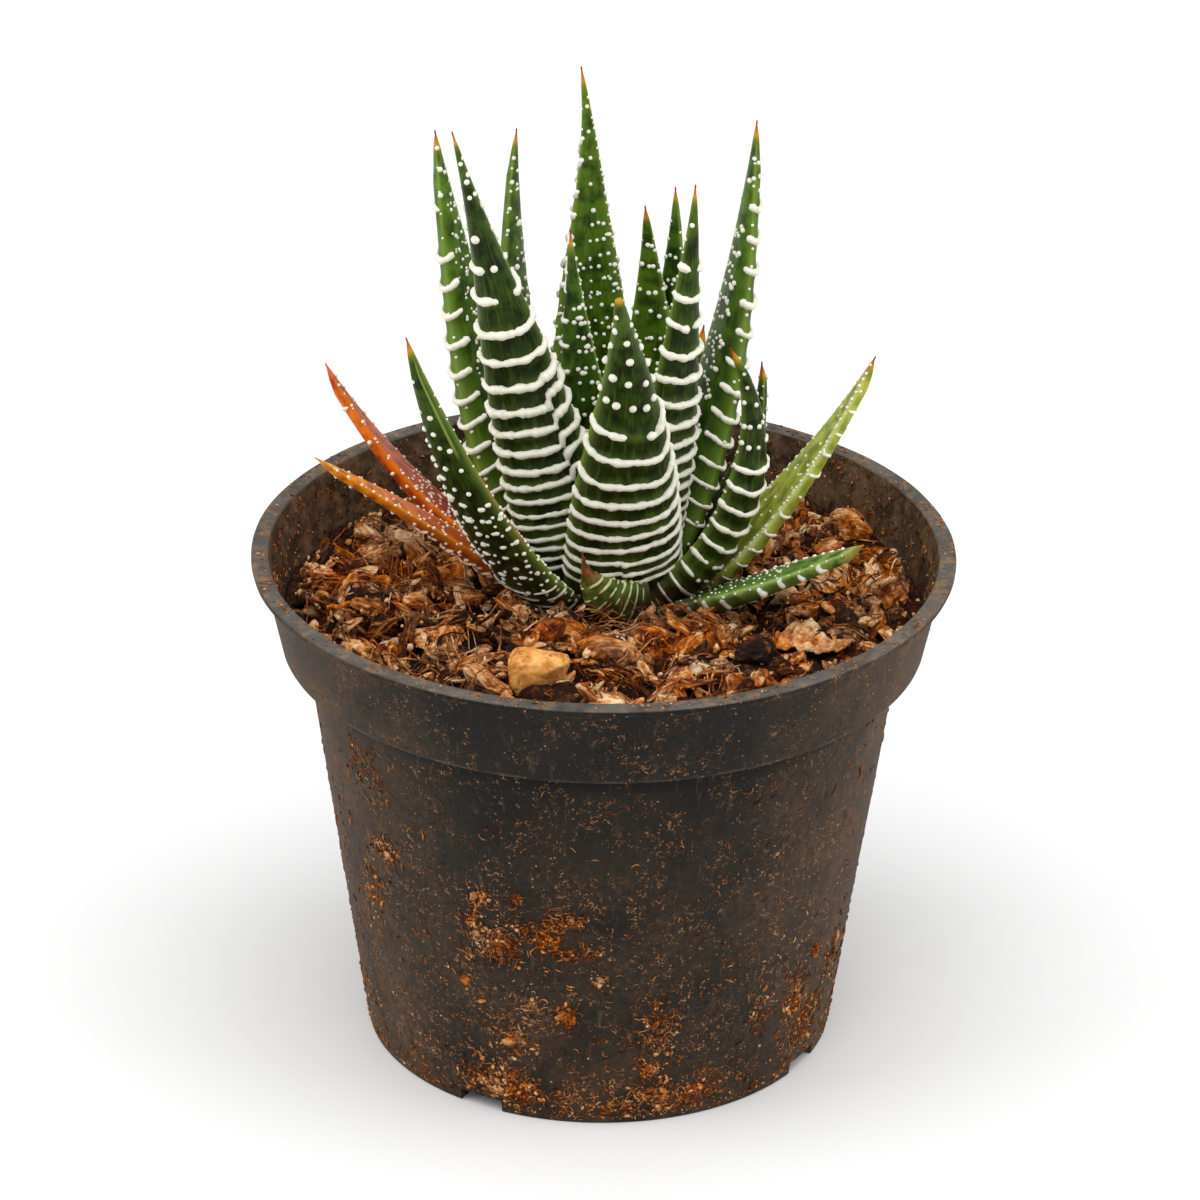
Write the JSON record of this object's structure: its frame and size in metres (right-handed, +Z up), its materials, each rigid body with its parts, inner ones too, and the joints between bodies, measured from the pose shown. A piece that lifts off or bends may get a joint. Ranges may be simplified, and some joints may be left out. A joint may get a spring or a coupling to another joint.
{
  "type": "potted haworthia",
  "caption": "Zebra haworthia: a rosette of pointed succulent leaves with white cross ridges, growing in bark and coir in a round tapered nursery pot.",
  "frame": {"origin": "on the floor under the middle of the pot's lip", "axes": "+Z up; -Y towards the widest front leaf, +X to its right"},
  "size_m": [0.1, 0.1, 0.14],
  "materials": {
    "pot": "satin moulded",
    "soil": "loose bark and coir",
    "rootstock": "dull",
    "leaf_green": "waxy with white ridges",
    "leaf_pale": "waxy with white dots",
    "leaf_dried": "drying, waxy"
  },
  "bodies": {
    "root": {"pot": "pot", "soil": "soil", "rootstock": "rootstock", "leaf_01": "leaf_green", "leaf_02": "leaf_green", "leaf_03": "leaf_green", "leaf_04": "leaf_green", "leaf_05": "leaf_green", "leaf_06": "leaf_green", "leaf_07": "leaf_green", "leaf_08": "leaf_green", "leaf_09": "leaf_green", "leaf_10": "leaf_green", "leaf_11": "leaf_green", "leaf_12": "leaf_green", "leaf_13": "leaf_green", "leaf_14": "leaf_green", "leaf_15": "leaf_pale", "leaf_16": "leaf_dried", "leaf_17": "leaf_green", "leaf_18": "leaf_green", "leaf_19": "leaf_green", "leaf_20": "leaf_dried", "leaf_21": "leaf_green"}
  },
  "joints": []
}
